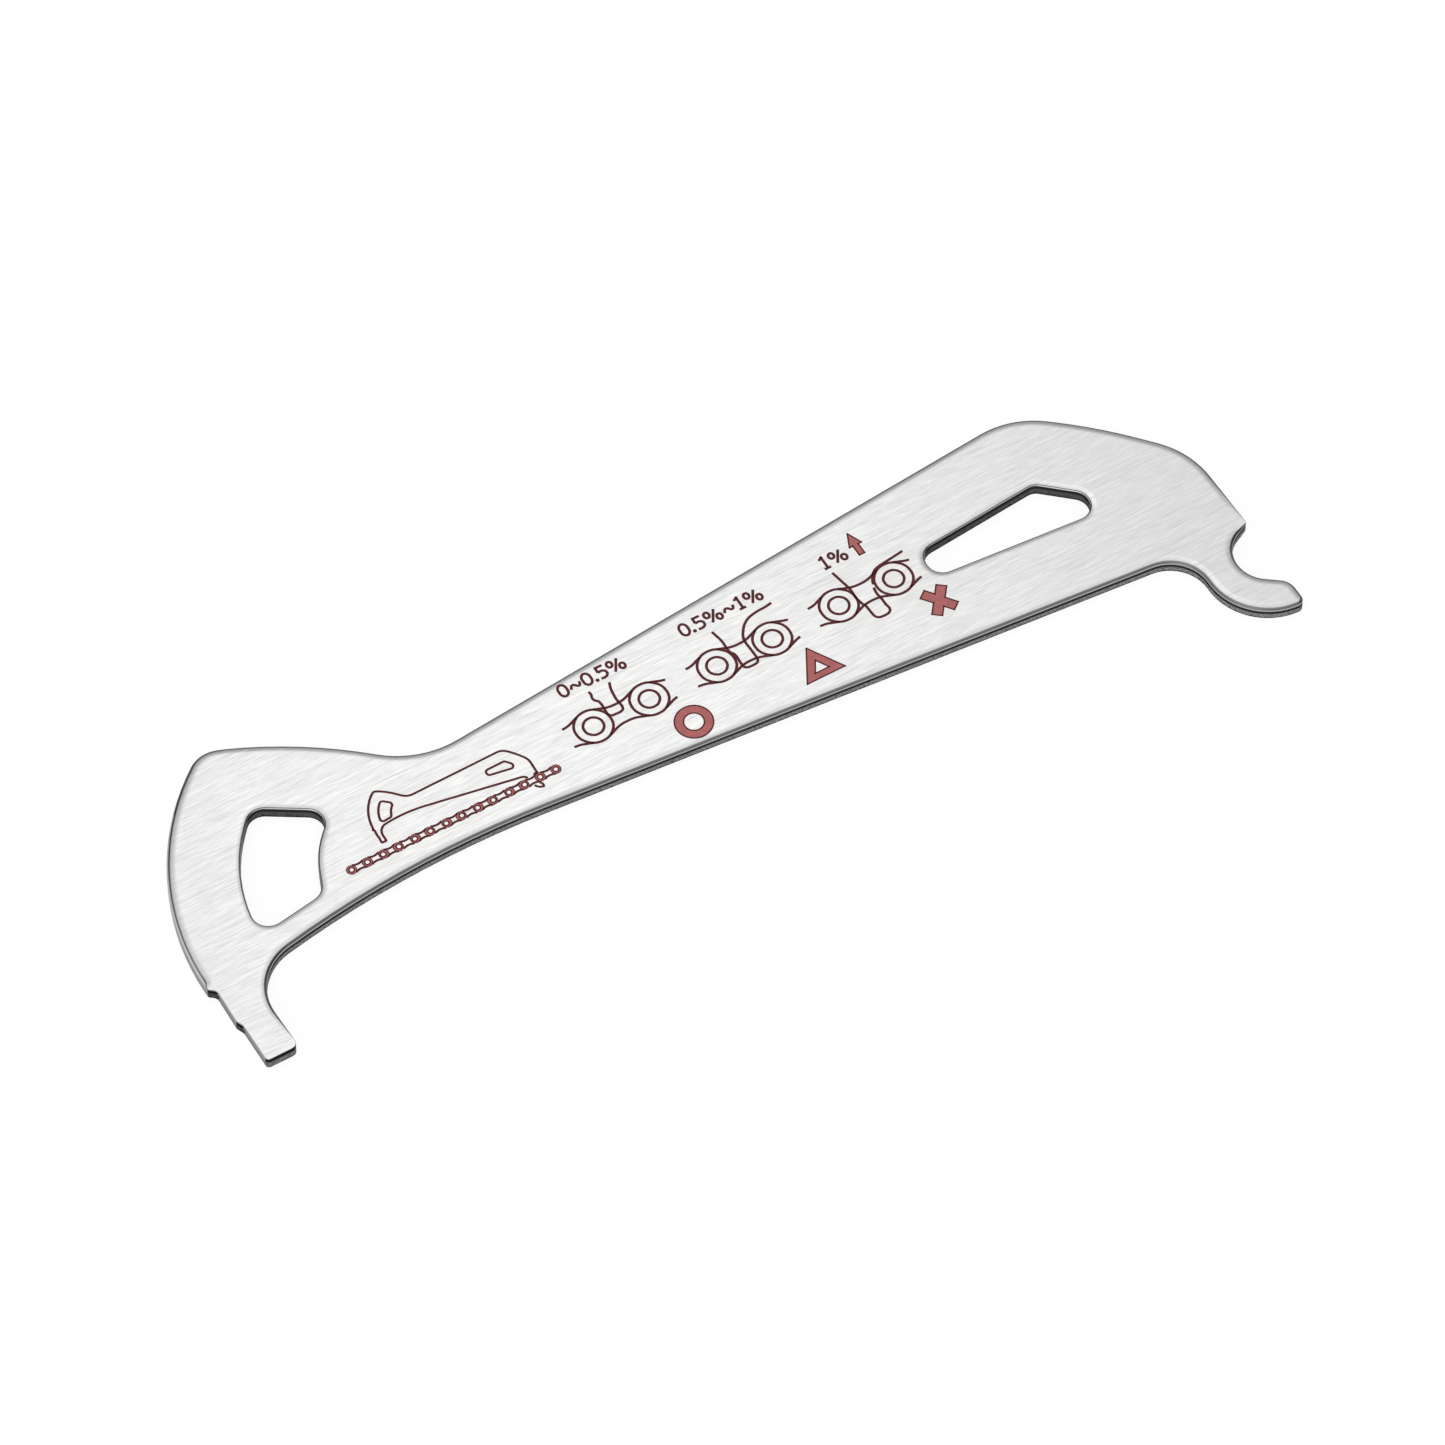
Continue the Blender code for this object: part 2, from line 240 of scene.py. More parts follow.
# Each figure's breadth and strokes on a height of 1: (points, closed, rounded)
FIGURES = {
    "0": (0.62, (
        (((0, 0.5), (0.07, 0.85), (0.31, 1), (0.55, 0.85), (0.62, 0.5), (0.55, 0.15), (0.31, 0),
          (0.07, 0.15)), True, True),
    )),
    "1": (0.52, (
        (((0, 0.84), (0.28, 1), (0.28, 0)), False, False),
        (((0, 0), (0.52, 0)), False, False),
    )),
    "5": (0.6, (
        (((0.58, 1), (0.05, 1), (0.04, 0.57)), False, False),
        (((0.04, 0.57), (0.3, 0.6), (0.52, 0.5), (0.6, 0.3), (0.52, 0.1), (0.3, 0), (0, 0.02)),
         False, True),
    )),
    "%": (1.17, (
        (((0, 0.76), (0.2, 1), (0.4, 0.76), (0.2, 0.52)), True, True),
        (((0.88, 1), (0.3, 0)), False, False),
        (((0.77, 0.24), (0.97, 0.48), (1.17, 0.24), (0.97, 0)), True, True),
    )),
    "~": (0.79, (
        (((0, 0.26), (0.08, 0.46), (0.22, 0.57), (0.38, 0.5), (0.52, 0.36), (0.66, 0.32),
          (0.76, 0.44), (0.79, 0.64)), False, True),
    )),
    ".": (0.09, (
        (((0, 0.04), (0.045, 0.085), (0.09, 0.04), (0.045, -0.005)), True, True),
    )),
}

# Signs beside the views, in millimetres. The cross's bars reach this far from its centre and stand
# out by CROSS_ARM to each side.
RING_CENTRE = (-1.77, -1.6)
RING_OUTER = 2.06
RING_INNER = 1.12
RING_OUTER_POINTS = 64
RING_INNER_POINTS = 48
TRIANGLE_OUTER = ((13.22, 0.38), (10.98, -3.6), (15.58, -3.6))
TRIANGLE_INNER = ((13.24, -1.38), (12.36, -2.86), (14.12, -2.86))
CROSS_CENTRE = (28.56, -1.48)
CROSS_REACH = (1.18, 1.52)
CROSS_ARM = 0.55
ARROW = (
    (24.6, 10.85), (23.88, 9.2), (24.3, 9.2), (24.3, 7.85), (24.93, 7.85), (24.93, 9.2), (25.34, 9.2),
)

# Small picture of the gauge on its chain, in millimetres. The outline of the real face is drawn
# small, with HOOK_CENTRE on a roller. The chain's plates lean a little, every other one back.
CHAIN_START = (-41.95, 0.56)
CHAIN_END = (-17.3, 0.62)
CHAIN_ROLLERS = 14
HOOKED_ROLLER = 12
CHAIN_PLATE_END = 0.54
CHAIN_PLATE_LEAN = 0.08
CHAIN_PLATE_POINTS = 24
CHAIN_PLATE_BORDER = 0.65
CHAIN_ROLLER_BORE = 0.31
CHAIN_BORE_POINTS = 16
CHAIN_LINK_EDGE = ((0.28, 0.49), (0.56, 0.39), (0.95, 0.33), (1.34, 0.39), (1.62, 0.49))
PICTURE_SCALE = (0.1493, 0.170)
PICTURE_TURN = math.radians(-4.9)
PICTURE_SPACING = 1.2 * MM
HOOK_CENTRE = (62.372, -13.685)


class PlateSettings(bpy.types.PropertyGroup):
    """Colours and grain of the steel sheet."""

    steel: bpy.props.StringProperty(
        name="Steel", description="Colour of the bare steel, as sRGB hex", default="#C1C1C0")
    streak_dark: bpy.props.StringProperty(
        name="Streak", description="Colour of the darker brush lines, as sRGB hex", default="#B2B2B2")
    # The rim's grey is partly its own unbrushed finish and partly painted shade.
    rim: bpy.props.StringProperty(
        name="Rolled Rim", description="Colour of the rim where the brush does not reach",
        default="#868687")
    # This near-black is painted shade on the sheared band, not the steel's own colour.
    burnish_painted_shade: bpy.props.StringProperty(
        name="Burnished Band", description="Colour of the smooth band sheared by the punch",
        default="#29292B")
    fracture: bpy.props.StringProperty(
        name="Fracture", description="Colour of the rough broken part of the edge", default="#848486")
    # This dark grey is painted shade in the openings and on the peg's lands, and makes bands of
    # painted shade on the rims.
    pierced: bpy.props.StringProperty(
        name="Pierced Wall", description="Colour of the broken walls of the window and slot",
        default="#565658")
    ground: bpy.props.StringProperty(
        name="Ground Land", description="Colour of the ground lands of the peg", default="#C6C6C7")
    # This dark foot is partly the burr and partly painted shade where the gauge meets the floor.
    foot: bpy.props.StringProperty(
        name="Edge Foot", description="Colour of the ragged foot of the edge", default="#2E2E30")
    streak_width: bpy.props.FloatProperty(
        name="Streak Width", description="Width of one brush line", default=0.09 * MM,
        min=0.02 * MM, unit="LENGTH", precision=5)
    streak_length: bpy.props.FloatProperty(
        name="Streak Length", description="Length of one brush line", default=2.5 * MM,
        min=1 * MM, unit="LENGTH", precision=4)
    scratch_width: bpy.props.FloatProperty(
        name="Scratch Width", description="Width of one of the deeper scratches",
        default=0.11 * MM, min=0.02 * MM, unit="LENGTH", precision=5)
    scratch_length: bpy.props.FloatProperty(
        name="Scratch Length", description="Length of one of the deeper scratches",
        default=12 * MM, min=1 * MM, unit="LENGTH", precision=4)
    grain: bpy.props.FloatProperty(
        name="Fracture Grain", description="Size of the grains of the broken edge",
        default=0.16 * MM, min=0.02 * MM, unit="LENGTH", precision=5)
    roll_depth: bpy.props.FloatProperty(
        name="Roll Depth", description="How far the face is drawn down at its edges",
        default=0.05 * MM, min=0.0, unit="LENGTH", precision=5)


class PrintSettings(bpy.types.PropertyGroup):
    """Inks and line widths of the printed marks."""

    line: bpy.props.StringProperty(
        name="Line", description="Colour of the lines and borders, as sRGB hex", default="#4B0E10")
    fill: bpy.props.StringProperty(
        name="Fill", description="Colour of the filled signs, as sRGB hex", default="#A25B5A")
    line_width: bpy.props.FloatProperty(
        name="Line Width", description="Width of a printed line", default=0.32 * MM,
        min=0.02 * MM, unit="LENGTH", precision=5)
    border_width: bpy.props.FloatProperty(
        name="Border Width", description="Width of the border round a filled sign",
        default=0.21 * MM, min=0.02 * MM, unit="LENGTH", precision=5)
    fine_width: bpy.props.FloatProperty(
        name="Fine Line Width", description="Width of the lines of the small picture",
        default=0.28 * MM, min=0.02 * MM, unit="LENGTH", precision=5)
    line_height: bpy.props.FloatProperty(
        name="Line Height", description="How far a line stands proud of the face",
        default=0.010 * MM, min=0.002 * MM, unit="LENGTH", precision=6)
    fill_height: bpy.props.FloatProperty(
        name="Fill Height", description="How far a filled sign stands proud of the face",
        default=0.006 * MM, min=0.001 * MM, unit="LENGTH", precision=6)


class StudioSettings(bpy.types.PropertyGroup):
    """Floor and light."""

    floor: bpy.props.StringProperty(
        name="Floor", description="Colour of the floor, as sRGB hex", default="#FFFFFF")
    floor_size: bpy.props.FloatProperty(
        name="Floor Size", description="Side of the square floor", default=8.0, min=0.5, unit="LENGTH")
    paleness: bpy.props.FloatProperty(
        name="Paleness", description="Share of the floor that looks plain white to the eye",
        default=0.9, min=0.0, max=1.0, subtype="FACTOR")
    light: bpy.props.FloatProperty(
        name="Light", description="Brightness of the room above the gauge", default=1.6, min=0.1)
    left_light: bpy.props.FloatProperty(
        name="Left Light", description="Brightness of the wall on the left", default=0.9, min=0.0)
    front_light: bpy.props.FloatProperty(
        name="Front Light", description="Brightness of the wall in front of the gauge", default=0.9,
        min=0.0)
    back_light: bpy.props.FloatProperty(
        name="Back Light", description="Brightness of the wall behind the gauge", default=0.35,
        min=0.0)
    softbox_power: bpy.props.FloatProperty(
        name="Softbox Power", description="Power of the softbox behind the gauge", default=0.06,
        min=0.0, unit="POWER")
    softbox_size: bpy.props.FloatProperty(
        name="Softbox Size", description="Side of the square softbox", default=0.15, min=0.05,
        unit="LENGTH")


SETTINGS = {"plate": PlateSettings, "print": PrintSettings, "studio": StudioSettings}


def settings(kind):
    """The settings of that kind on the scene."""
    return getattr(bpy.context.scene, "gauge_" + kind)


def linear(colour):
    """Scene-linear RGBA of an sRGB hex colour."""
    shares = [int(colour[i:i + 2], 16) / 255 for i in (1, 3, 5)]
    return [c / 12.92 if c <= 0.04045 else ((c + 0.055) / 1.055) ** 2.4 for c in shares] + [1.0]


def add_node(tree, kind, inputs=None, **values):
    """Adds a node. inputs gives each socket a number, a colour or another node's output."""
    node = tree.nodes.new("ShaderNode" + kind)
    for name, value in values.items():
        setattr(node, name, value)
    for name, value in (inputs or {}).items():
        if isinstance(value, bpy.types.NodeSocket):
            tree.links.new(value, node.inputs[name])
        else:
            node.inputs[name].default_value = value
    return node


def set_ramp(node, stops):
    """Gives a colour ramp its stops, as (position, RGBA)."""
    elements = node.color_ramp.elements
    while len(elements) < len(stops):
        elements.new(1.0)
    for element, (position, colour) in zip(elements, stops):
        element.position = position
        element.color = colour
    return node


def new_material(name):
    """A new material, with its node tree, its shader and its object coordinates."""
    material = bpy.data.materials.new(name)
    material.use_nodes = True
    tree = material.node_tree
    shader = tree.nodes["Principled BSDF"]
    place = add_node(tree, "TexCoord").outputs["Object"]
    return material, tree, shader, place


def brushed_stainless(name, scratched):
    """Cold-rolled stainless sheet, brushed along its length.

    The belt leaves fine bright and dark lines along x, which spread reflections across the gauge
    and keep it a soft white. It hardly reaches the drawn-down edges, which stay greyer: partly their
    own unbrushed finish and partly painted shade. Real lines are a few hundredths of a millimetre
    wide, and they are drawn coarser here, so they show.
    """
    look = settings("plate")
    material, tree, shader, place = new_material(name)

    def brushed(length, width, detail):
        """Noise drawn out along x."""
        stretched = add_node(tree, "Mapping", {
            "Vector": place, "Scale": (1 / length, 1 / width, 1 / length)})
        return add_node(tree, "TexNoise", {
            "Vector": stretched.outputs["Vector"], "Scale": 1.0, "Detail": detail,
            "Roughness": 0.7}).outputs["Fac"]

    streaks = brushed(look.streak_length, look.streak_width, 2.0)
    bands = brushed(look.streak_length * 4, look.streak_width * 8, 2.0)
    both = add_node(tree, "Math", {0: bands, 1: 0.1, 2: streaks}, operation="MULTIPLY_ADD")
    tone = add_node(tree, "MapRange", {
        "Value": both.outputs["Value"], "From Min": STREAK_MIDDLE - STREAK_SPREAD,
        "From Max": STREAK_MIDDLE + STREAK_SPREAD})
    plain = add_node(tree, "Mix", {
        "Factor": tone.outputs["Result"], 6: linear(look.streak_dark), 7: linear(look.steel)},
        data_type="RGBA")
    scratches = add_node(tree, "MapRange", {
        "Value": brushed(look.scratch_length, look.scratch_width, 0.0),
        "From Min": 0.62, "From Max": 0.78, "To Max": scratched})
    colour = add_node(tree, "Mix", {
        "Factor": scratches.outputs["Result"], 6: plain.outputs[2], 7: linear(look.rim)},
        data_type="RGBA")
    height = add_node(tree, "SeparateXYZ", {0: place}).outputs["Z"]
    # Where the face is drawn down at its edges it greys toward the rim: partly the unbrushed finish
    # and partly painted shade.
    drawn = add_node(tree, "MapRange", {
        "Value": height, "From Min": PLATE_HIGH.z, "From Max": PLATE_HIGH.z - look.roll_depth,
        "To Min": 0.0, "To Max": EDGE_GREY_AND_SHADE})
    edged = add_node(tree, "Mix", {
        "Factor": drawn.outputs["Result"], 6: colour.outputs[2], 7: linear(look.rim)},
        data_type="RGBA")
    tree.links.new(edged.outputs[2], shader.inputs["Base Color"])
    rough = add_node(tree, "MapRange", {
        "Value": tone.outputs["Result"], "To Min": 0.34, "To Max": 0.26})
    tree.links.new(rough.outputs["Result"], shader.inputs["Roughness"])
    bump = add_node(tree, "Bump", {
        "Height": streaks, "Strength": 0.5 * scratched, "Distance": STREAK_DEPTH})
    tree.links.new(bump.outputs["Normal"], shader.inputs["Normal"])
    shader.inputs["Metallic"].default_value = 1.0
    return material


def blanked_steel(name, zones, broken_zones):
    """Edge of stainless sheet as the die leaves it, or as it is ground later.

    The rim is drawn down smooth and mirrors the room, and the band below it is sheared smooth; its
    dark is painted shade. The rest breaks off rough and grey down to a ragged foot, whose dark is
    partly the burr and partly painted shade where the gauge meets the floor. Across the rim lie
    bands of painted shade and thin painted highlights. The broken grains are drawn coarser than real
    ones, so they show. A ground wall is one light satin band.
    """
    look = settings("plate")
    material, tree, shader, place = new_material(name)
    grains = add_node(tree, "TexNoise", {
        "Vector": place, "Scale": 1 / look.grain, "Detail": 3.0, "Roughness": 0.7})
    height = add_node(tree, "SeparateXYZ", {0: place}).outputs["Z"]
    share = add_node(tree, "Math", {0: height, 1: THICKNESS}, operation="DIVIDE")
    ragged = add_node(tree, "MapRange", {
        "Value": share.outputs["Value"], "From Min": 0.5, "From Max": 0.75,
        "To Min": 0.35, "To Max": 0.0})
    wander = add_node(tree, "Math", {0: grains.outputs["Fac"], 1: 0.5}, operation="SUBTRACT")
    level = add_node(tree, "Math", {
        0: wander.outputs["Value"], 1: ragged.outputs["Result"], 2: share.outputs["Value"]},
        operation="MULTIPLY_ADD")
    tone = set_ramp(add_node(tree, "ValToRGB", {"Fac": level.outputs["Value"]}), [
        (at, linear(getattr(look, colour))) for at, colour in zones])
    broken = set_ramp(add_node(tree, "ValToRGB", {"Fac": level.outputs["Value"]}), [
        (at, (rough, rough, rough, 1)) for at, rough in broken_zones])
    speckle = add_node(tree, "MapRange", {
        "Value": grains.outputs["Fac"], "From Min": 0.35, "From Max": 0.65,
        "To Min": 0.3, "To Max": 1.8})
    dulled = add_node(tree, "Mix", {
        "Factor": broken.outputs["Color"], "A": 1.0, "B": speckle.outputs["Result"]})
    shade = add_node(tree, "VectorMath", {
        0: tone.outputs["Color"], "Scale": dulled.outputs["Result"]}, operation="SCALE")
    tree.links.new(shade.outputs["Vector"], shader.inputs["Base Color"])
    rough = add_node(tree, "MapRange", {
        "Value": broken.outputs["Color"], "To Min": 0.14, "To Max": 0.6})
    tree.links.new(rough.outputs["Result"], shader.inputs["Roughness"])
    bump = add_node(tree, "Bump", {
        "Height": grains.outputs["Fac"], "Strength": 0.4, "Distance": GRAIN_DEPTH})
    tree.links.new(bump.outputs["Normal"], shader.inputs["Normal"])
    shader.inputs["Metallic"].default_value = 1.0
    # Torn steel stays dark at a grazing angle, where polished steel would shine
    shader.inputs["Specular Tint"].default_value = (0.4, 0.4, 0.4, 1.0)
    return material


def screen_ink(name, colour):
    """Baked screen-print ink. It dries to a thin satin skin, a little uneven in tone."""
    material, tree, shader, place = new_material(name)
    patches = add_node(tree, "TexNoise", {"Vector": place, "Scale": 1 / INK_PATCH, "Detail": 2.0})
    tone = add_node(tree, "MapRange", {
        "Value": patches.outputs["Fac"], "From Min": 0.3, "From Max": 0.7,
        "To Min": 0.9, "To Max": 1.1})
    shade = add_node(tree, "VectorMath", {
        0: linear(colour)[:3], "Scale": tone.outputs["Result"]}, operation="SCALE")
    tree.links.new(shade.outputs["Vector"], shader.inputs["Base Color"])
    shader.inputs["Roughness"].default_value = 0.5
    shader.inputs["Specular IOR Level"].default_value = 0.25
    return material


def ink(kind):
    """The ink of the lines or of the fills, made when it is first asked for."""
    name = "screen_ink_" + kind
    return bpy.data.materials.get(name) or screen_ink(name, getattr(settings("print"), kind))


def deselect():
    """Selects nothing, in object mode."""
    if bpy.context.object and bpy.context.object.mode != "OBJECT":
        bpy.ops.object.mode_set(mode="OBJECT")
    bpy.ops.object.select_all(action="DESELECT")


def pick(*pieces):
    """Selects only these pieces, the first of them active."""
    deselect()
    for piece in pieces:
        piece.select_set(True)
    bpy.context.view_layer.objects.active = pieces[0]


def drawn_curve(loops, kind, closed):
    """A flat curve through each loop of points, which are in millimetres."""
    deselect()
    bpy.ops.curve.primitive_bezier_curve_add(location=(0, 0, 0))
    curve = bpy.context.object
    curve.data.splines.clear()
    for points in loops:
        spline = curve.data.splines.new(kind)
        knots = spline.bezier_points if kind == "BEZIER" else spline.points
        knots.add(len(points) - 1)
        for knot, point in zip(knots, points):
            place = (point[0] * MM, point[1] * MM, 0.0)
            knot.co = place if kind == "BEZIER" else (*place, 1.0)
            if kind == "BEZIER":
                knot.handle_left_type = knot.handle_right_type = "AUTO"
        spline.use_cyclic_u = closed
        spline.resolution_u = CURVE_STEPS
    return curve


def runs_between_corners(points, closed, reach):
    """Runs of a line between its sharp corners, drawn out there so that each corner fills."""
    count = len(points)
    inner = range(count) if closed else range(1, count - 1)
    corners = [
        i for i in inner
        if (Vector(points[i]) - Vector(points[i - 1])).angle(
            Vector(points[(i + 1) % count]) - Vector(points[i])) > SHARP_CORNER
    ]
    if not corners:
        return [points], closed
    first = corners[0] if closed else 0
    order = [(first + i) % count for i in range(count + 1 if closed else count)]
    runs = [[]]
    for at, i in enumerate(order):
        runs[-1].append(Vector(points[i]))
        if i in corners and 0 < at < len(order) - 1:
            runs.append([Vector(points[i])])
    for i, run in enumerate(runs):
        if closed or i > 0:
            run[0] = run[0] + (run[0] - run[1]).normalized() * reach
        if closed or i < len(runs) - 1:
            run[-1] = run[-1] + (run[-1] - run[-2]).normalized() * reach
    return runs, False


def printed_line(points, width, closed=False, rounded=True):
    """A line of ink through points on the face: a round bead pressed flat."""
    runs = [points]
    if not rounded:
        runs, closed = runs_between_corners(points, closed, width / 2 / MM)
    line = drawn_curve(runs, "BEZIER" if rounded else "POLY", closed)
    line.data.twist_mode = "Z_UP"
    line.data.bevel_depth = width / 2
    line.data.bevel_resolution = 1
    line.data.use_fill_caps = not closed
    bpy.ops.object.convert(target="MESH")
    line.scale.z = settings("print").line_height / (width / 2)
    line.location.z = PLATE_HIGH.z
    bpy.ops.object.transform_apply(location=True, rotation=True, scale=True)
    return line


def printed_field(loops):
    """A flat field of ink. The first loop is its outside and the others are gaps in it."""
    field = drawn_curve(loops, "POLY", True)
    field.data.dimensions = "2D"
    field.data.fill_mode = "BOTH"
    field.data.extrude = settings("print").fill_height
    bpy.ops.object.convert(target="MESH")
    field.location.z = PLATE_HIGH.z
    bpy.ops.object.transform_apply(location=True, rotation=True, scale=True)
    return field


def circle(centre, radius, count=8):
    """Points round a circle."""
    turns = [2 * math.pi * i / count for i in range(count)]
    return [(centre[0] + radius * math.cos(a), centre[1] + radius * math.sin(a)) for a in turns]


def moved(points, offset, flip=1):
    """Points moved by an offset, turned over the line of centres where flip is -1."""
    return [(x + offset[0], y * flip + offset[1]) for x, y in points]


def finish_print(name, lines, fields):
    """Joins a group of printed marks into one piece that rides on the plate."""
    for group, kind in ((lines, "line"), (fields, "fill")):
        for mark in group:
            mark.data.materials.clear()
            mark.data.materials.append(ink(kind))
    pick(*lines, *fields)
    bpy.ops.object.join()
    piece = bpy.context.object
    piece.name = piece.data.name = name
    bpy.ops.object.mode_set(mode="EDIT")
    bpy.ops.mesh.select_all(action="SELECT")
    bpy.ops.mesh.remove_doubles(threshold=MERGE_DISTANCE)
    bpy.ops.mesh.normals_make_consistent(inside=False)
    bpy.ops.object.mode_set(mode="OBJECT")
    bpy.ops.object.shade_smooth_by_angle(angle=PRINT_SMOOTHING)
    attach(piece, BODY)


def face_loops(mesh):
    """The flat face and the loops of vertices round it, the outside first, from a merged mesh.

    Every loop runs anticlockwise.
    """
    face = {polygon for polygon in mesh.faces if polygon.normal.z > FLAT}
    neighbours = {}
    for edge in mesh.edges:
        if sum(polygon in face for polygon in edge.link_faces) == 1:
            for vert in edge.verts:
                neighbours.setdefault(vert, []).append(edge.other_vert(vert))
    loops = []
    while neighbours:
        vert = next(iter(neighbours))
        loop = []
        while vert is not None:
            loop.append(vert)
            onward = [other for other in neighbours.pop(vert) if other in neighbours]
            vert = onward[0] if onward else None
        turn = sum(a.co.to_2d().cross(b.co.to_2d()) for a, b in zip(loop, loop[1:] + loop[:1]))
        loops.append(loop if turn > 0 else loop[::-1])
    loops.sort(key=len, reverse=True)
    if len(loops) != 3:
        raise RuntimeError(f"the face has {len(loops)} edges and not 3")
    return list(face), loops


def spread(loop, spacing):
    """Points round a loop of places with their side to the left, none further apart than spacing."""
    points = []
    for i, place in enumerate(loop):
        along = loop[(i + 1) % len(loop)] - place
        left = Vector((-along.y, along.x)).normalized()
        count = max(1, math.ceil(along.length / spacing))
        points += [(place + along * (step + 0.5) / count, left) for step in range(count)]
    return points


def near_tree(points):
    """A search tree that finds the nearest of flat points."""
    tree = KDTree(len(points))
    for i, point in enumerate(points):
        tree.insert((point.x, point.y, 0.0), i)
    tree.balance()
    return tree


def wall_points(mesh):
    """Points on the walls below the rim, as seen from above."""
    points = []
    for edge in mesh.edges:
        start, end = (vert.co for vert in edge.verts)
        if all(MERGE_DISTANCE < place.z < PLATE_HIGH.z - RIM_DEPTH for place in (start, end)):
            count = math.ceil(edge.calc_length() / BORDER_SPACING)
            points += [start.lerp(end, step / count).to_2d() for step in range(count + 1)]
    return points


def fill_face(mesh, loops, rings):
    """Fills the face inside its loops over the rings' points, and returns their new vertices."""
    verts = [vert for loop in loops for vert in loop]
    outlines = []
    for loop in loops:
        start = outlines[-1][-1] + 1 if outlines else 0
        outlines.append(list(range(start, start + len(loop))))
    places = [vert.co.to_2d() for vert in verts] + rings
    filled = delaunay_2d_cdt(places, [], outlines, 1, MERGE_DISTANCE)
    corners, triangles, sources, regions = filled[0], filled[2], filled[3], filled[5]
    made = {}
    for triangle, region in zip(triangles, regions):
        # Regions are the loops that a triangle lies in, so one in an opening has two
        if region != [0]:
            continue
        around = []
        for corner in triangle:
            source = sources[corner][0]
            if source < len(verts):
                around.append(verts[source])
                continue
            if corner not in made:
                made[corner] = mesh.verts.new((*corners[corner], PLATE_HIGH.z))
            around.append(made[corner])
        polygon = mesh.faces.new(around)
        polygon.normal_update()
        if polygon.normal.z < 0:
            polygon.normal_flip()
    return set(made.values())


def bring_out_foot(mesh):
    """Brings the foot of each edge out below its wall, to the sharp burr of a blanked edge."""
    sheared = [
        vert.co.to_2d() for vert in mesh.verts
        if BACK_BREAK < vert.co.z < PLATE_HIGH.z - RIM_DEPTH
    ]
    columns = near_tree(sheared)
    for vert in mesh.verts:
        if vert.co.z < BACK_BREAK:
            place, column, distance = columns.find((vert.co.x, vert.co.y, 0.0))
            if distance < FOOT_REACH:
                vert.co.x, vert.co.y = sheared[column]


def draw_down_edges(plate, depth):
    """Fills the face again on rings of points that follow its edges, and draws those edges down.

    The peg's lands have hardly a rim in the solid, and stay square. Returns a function that gives
    how far the edge nearest to a place was drawn down, as a share of depth.
    """
    mesh = bmesh.new()
    mesh.from_mesh(plate.data)
    face, loops = face_loops(mesh)
    walls = near_tree(wall_points(mesh))
    border = []
    free = []
    for loop in loops:
        places = [vert.co.to_2d() for vert in loop]
        inward = 1.0 if loop is loops[0] else -1.0
        border += [place for place, left in spread(places, BORDER_SPACING)]
        for place, left in spread(places, ROLL_SPACING):
            free += [(place + left * inward * inset, inset) for inset in ROLL_INSETS]
    edges = near_tree(border)
    rings = [
        place for place, inset in free
        if edges.find((place.x, place.y, 0.0))[2] > inset * ROLL_CLEARANCE
    ]
    drawn = []
    for place in border:
        rim = walls.find((place.x, place.y, 0.0))[2]
        drawn.append(min(1.0, max(0.0, rim / SQUARE_EDGE - 1.0)))

    bmesh.ops.delete(mesh, geom=face, context="FACES")
    inner = fill_face(mesh, loops, rings)
    bring_out_foot(mesh)
    reach = ROLL_INSETS[-2]
    for vert in mesh.verts:
        found = edges.find((vert.co.x, vert.co.y, 0.0))
        slope = max(0.0, 1.0 - found[2] / reach) ** 2 if vert in inner else 1.0
        vert.co.z -= depth * drawn[found[1]] * slope * vert.co.z / PLATE_HIGH.z
    mesh.to_mesh(plate.data)
    mesh.free()
    return lambda place: drawn[edges.find((place.x, place.y, 0.0))[1]]


def wall_rings(mesh):
    """The walls of each edge of the plate, the outer edge first."""
    waiting = {polygon for polygon in mesh.faces if abs(polygon.normal.z) < UPRIGHT}
    rings = []
    while waiting:
        front = [waiting.pop()]
        ring = []
        while front:
            polygon = front.pop()
            ring.append(polygon)
            for side in polygon.edges:
                for other in side.link_faces:
                    if other in waiting:
                        waiting.remove(other)
                        front.append(other)
        rings.append(ring)
    return sorted(rings, key=len, reverse=True)


def give_walls_materials(plate, drawn_at):
    """Gives each part of the plate its slot.

    The outer edge is blanked and the openings are pierced, their walls darkened with painted shade.
    The peg's end is ground, apart from its square lands: the tip's walls stay as sheared, and the
    others are as dark as the pierced ones, with the same painted shade.
    """
    mesh = bmesh.new()
    mesh.from_mesh(plate.data)
    for polygon in mesh.faces:
        polygon.material_index = FACE if polygon.normal.z > 0 else BACK
    outer, *openings = wall_rings(mesh)
    for polygon in outer:
        polygon.material_index = BLANKED
    for opening in openings:
        # The openings' walls are darkened with painted shade.
        for polygon in opening:
            polygon.material_index = PIERCED
    lands = []
    for polygon in outer:
        place = polygon.calc_center_median()
        if place.x > GROUND_END:
            continue
        if drawn_at(place) < LAND_DRAWN and polygon.normal.y < LAND_FACING:
            lands.append(polygon)
        elif polygon.normal.x < GROUND_FACING:
            polygon.material_index = GROUND
    tip = min(polygon.calc_center_median().y for polygon in lands)
    for polygon in lands:
        beside_tip = polygon.calc_center_median().y < tip + PEG_TIP_HEIGHT
        # Lands away from the tip get the pierced walls' painted shade.
        polygon.material_index = SQUARE if beside_tip else PIERCED
    mesh.to_mesh(plate.data)
    mesh.free()


